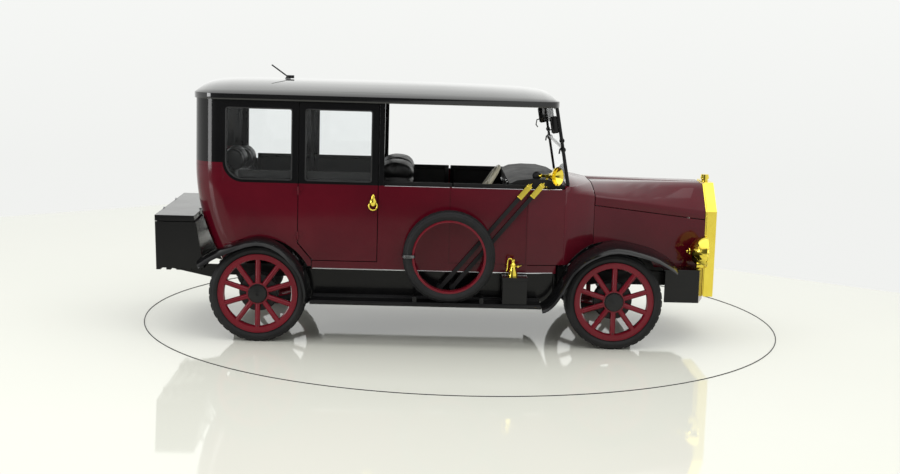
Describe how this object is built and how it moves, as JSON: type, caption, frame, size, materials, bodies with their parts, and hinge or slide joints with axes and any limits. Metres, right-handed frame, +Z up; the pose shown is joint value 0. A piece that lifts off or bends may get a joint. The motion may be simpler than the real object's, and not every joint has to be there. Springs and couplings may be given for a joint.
{
  "type": "vintage-style limousine car",
  "caption": "Closed vintage-style limousine with spoked wheels, brass radiator and lamps, opening doors, bonnet lids and trunk, and steered front wheels.",
  "frame": {"origin": "on the ground under the middle of the car", "axes": "+X forward, +Y to the car's left, +Z up"},
  "size_m": [4.3, 1.81, 2.041],
  "materials": {
    "maroon_paint": "deep gloss maroon lacquer",
    "black_paint": "gloss black lacquer",
    "chassis_paint": "satin black",
    "engine_iron": "matt",
    "brass": "polished",
    "grille_metal": "dark bars",
    "glass": "clear",
    "dash_trim": "grained black",
    "leather": "black, softly creased",
    "tyre_rubber": "satin black",
    "wheel_red": "dark red lacquer",
    "wheel_rim_pale": "pale, polished"
  },
  "bodies": {
    "body": {"chassis_frame": "chassis_paint", "cross_members": "chassis_paint", "tow_plates": "chassis_paint", "floor_pan": "chassis_paint", "engine_block": "engine_iron", "front_axle": "chassis_paint", "rear_axle": "chassis_paint", "radiator_shell": "brass", "radiator_grille": "grille_metal", "bonnet_sides": "maroon_paint", "bonnet_hinge": "brass", "scuttle": "maroon_paint", "front_valance": "black_paint", "headlamps": "brass", "headlamp_lenses": "glass", "front_wings": "black_paint", "rear_wings": "black_paint", "running_boards": "black_paint", "rear_body": "maroon_paint", "upper_body": "black_paint", "side_panels": "maroon_paint", "roof": "black_paint", "aerial": "black_paint", "windscreen_frame": "black_paint", "glazing": "glass", "dashboard": "dash_trim", "steering_column": "dash_trim", "front_seats": "leather", "rear_seat": "leather", "spare_tyre": "tyre_rubber", "spare_rim": "wheel_red", "hand_levers": "black_paint", "tool_box": "black_paint", "gas_generator": "brass", "horn": "brass", "trunk_case": "black_paint", "trunk_rack": "black_paint"},
    "trunk_lid": {"trunk_lid": "black_paint"},
    "bonnet_left": {"bonnet_lid_left": "maroon_paint"},
    "bonnet_right": {"bonnet_lid_right": "maroon_paint"},
    "front_door_left": {"front_door_left": "maroon_paint"},
    "rear_door_left": {"rear_door_left": "maroon_paint", "door_glass_left": "glass"},
    "rear_door_right": {"rear_door_right": "maroon_paint", "door_glass_right": "glass"},
    "steering_wheel": {"steering_wheel": "wheel_rim_pale"},
    "knuckle_left": {"knuckle_left": "chassis_paint"},
    "knuckle_right": {"knuckle_right": "chassis_paint"},
    "wheel_front_left": {"wheel_front_left": "wheel_red", "tyre_front_left": "tyre_rubber"},
    "wheel_front_right": {"wheel_front_right": "wheel_red", "tyre_front_right": "tyre_rubber"},
    "wheel_rear_left": {"wheel_rear_left": "wheel_red", "tyre_rear_left": "tyre_rubber"},
    "wheel_rear_right": {"wheel_rear_right": "wheel_red", "tyre_rear_right": "tyre_rubber"}
  },
  "joints": [
    {"name": "steer_right", "type": "hinge", "parent": "body", "child": "knuckle_right", "pos_m": [1.31, -0.68, 0.365], "axis": [0, 0, 1], "range_deg": [-28, 28]},
    {"name": "steer_left", "type": "hinge", "parent": "body", "child": "knuckle_left", "pos_m": [1.31, 0.68, 0.365], "axis": [0, 0, 1], "range_deg": [-28, 28]},
    {"name": "steering_turn", "type": "hinge", "parent": "body", "child": "steering_wheel", "pos_m": [0.345, -0.33, 1.166], "axis": [-0.8434, 0, 0.5373], "range_deg": [-285, 285]},
    {"name": "roll_front_right", "type": "hinge", "parent": "knuckle_right", "child": "wheel_front_right", "pos_m": [1.31, -0.73, 0.365], "axis": [0, 1, 0], "continuous": true},
    {"name": "roll_front_left", "type": "hinge", "parent": "knuckle_left", "child": "wheel_front_left", "pos_m": [1.31, 0.73, 0.365], "axis": [0, 1, 0], "continuous": true},
    {"name": "roll_rear_right", "type": "hinge", "parent": "body", "child": "wheel_rear_right", "pos_m": [-1.36, -0.73, 0.365], "axis": [0, 1, 0], "continuous": true},
    {"name": "roll_rear_left", "type": "hinge", "parent": "body", "child": "wheel_rear_left", "pos_m": [-1.36, 0.73, 0.365], "axis": [0, 1, 0], "continuous": true},
    {"name": "open_rear_door_right", "type": "hinge", "parent": "body", "child": "rear_door_right", "pos_m": [-1.077, -0.728, 0.9], "axis": [0, 0, -1], "range_deg": [0, 70]},
    {"name": "open_rear_door_left", "type": "hinge", "parent": "body", "child": "rear_door_left", "pos_m": [-1.077, 0.728, 0.9], "axis": [0, 0, 1], "range_deg": [0, 70]},
    {"name": "open_front_door_left", "type": "hinge", "parent": "body", "child": "front_door_left", "pos_m": [0.647, 0.728, 0.9], "axis": [0, 0, -1], "range_deg": [0, 65]},
    {"name": "open_bonnet_right", "type": "hinge", "parent": "body", "child": "bonnet_right", "pos_m": [1.6, 0, 1.199], "axis": [-1, 0, 0], "range_deg": [0, 55]},
    {"name": "open_bonnet_left", "type": "hinge", "parent": "body", "child": "bonnet_left", "pos_m": [1.6, 0, 1.199], "axis": [1, 0, 0], "range_deg": [0, 55]},
    {"name": "open_trunk", "type": "hinge", "parent": "body", "child": "trunk_lid", "pos_m": [-1.841, 0, 0.928], "axis": [0, 1, 0], "range_deg": [0, 72]}
  ],
  "couplings": [
    {"joint": "steer_left", "follows": "steer_right", "ratio": 1},
    {"joint": "steering_turn", "follows": "steer_right", "ratio": 10}
  ]
}
